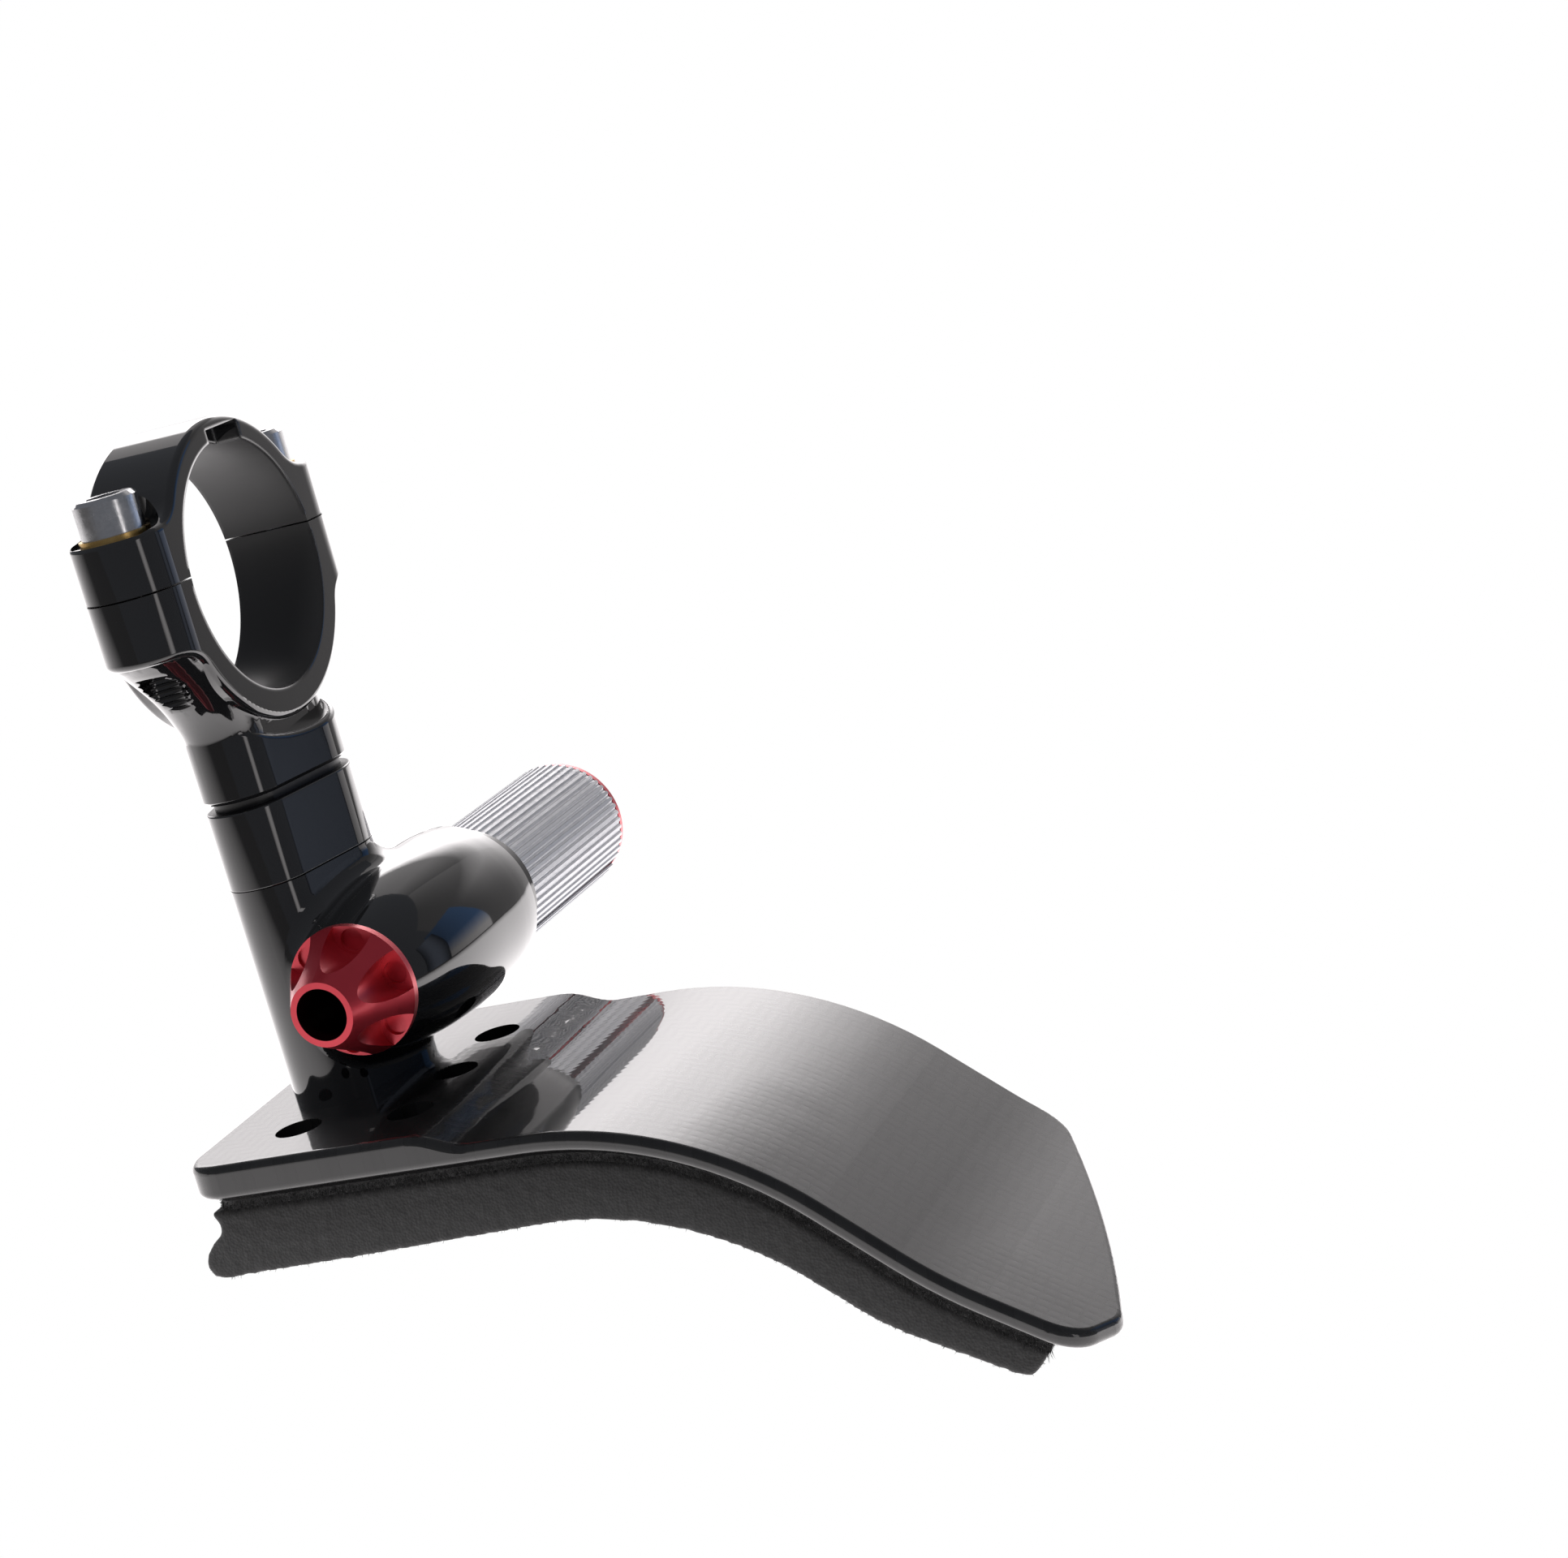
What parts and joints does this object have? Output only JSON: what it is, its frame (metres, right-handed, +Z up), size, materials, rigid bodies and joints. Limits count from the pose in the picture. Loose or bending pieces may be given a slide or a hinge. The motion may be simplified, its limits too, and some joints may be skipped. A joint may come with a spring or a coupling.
{
  "type": "aero handlebar extension",
  "caption": "Clip-on aero bar bracket: split handlebar clamp, teardrop stem, side barrel with a fluted tube expander and pocketed knob, and a padded armrest.",
  "frame": {"origin": "centre of the bounding box at the level of the surface it stands on", "axes": "+Z up as it stands on the pad's two ends, +Y along the barrel towards the expander's free end, +X towards the armrest's tip"},
  "size_m": [0.131, 0.0854, 0.1023],
  "materials": {
    "black_paint": "gloss black paint",
    "stainless": "turned stainless steel",
    "brass": "bright brass",
    "red_anodised": "satin red anodising",
    "bare_aluminium": "satin bare aluminium",
    "clear_coated_carbon": "gloss clear coat over carbon fibre",
    "hook": "matt black hook tape",
    "loop": "brushed black loop fabric",
    "foam": "matt charcoal closed-cell foam"
  },
  "bodies": {
    "bracket": {"clamp_cap": "black_paint", "clamp_base": "black_paint", "clamp_bolts": "stainless", "clamp_washers": "brass", "spacer": "black_paint", "bracket_body": "black_paint", "thrust_washer": "stainless", "expander_sleeve": "bare_aluminium", "armrest_shell": "clear_coated_carbon", "stack_bolts": "stainless", "hook_tape": "hook", "loop_backing": "loop", "foam_pad": "foam"},
    "knob": {"expander_bolt": "red_anodised"},
    "cone": {"expander_cone": "red_anodised"}
  },
  "joints": [
    {"name": "knob_turn", "type": "hinge", "parent": "bracket", "child": "knob", "pos_m": [-0.03252, -0.026, 0.03456], "axis": [0, -1, 0], "range_deg": [0, 720]},
    {"name": "cone_slide", "type": "slide", "parent": "bracket", "child": "cone", "axis": [0, 1, 0], "range_m": [0, 0.0021]}
  ],
  "couplings": [
    {"joint": "cone_slide", "follows": "knob_turn", "m_per_rad": 0.00015915}
  ]
}
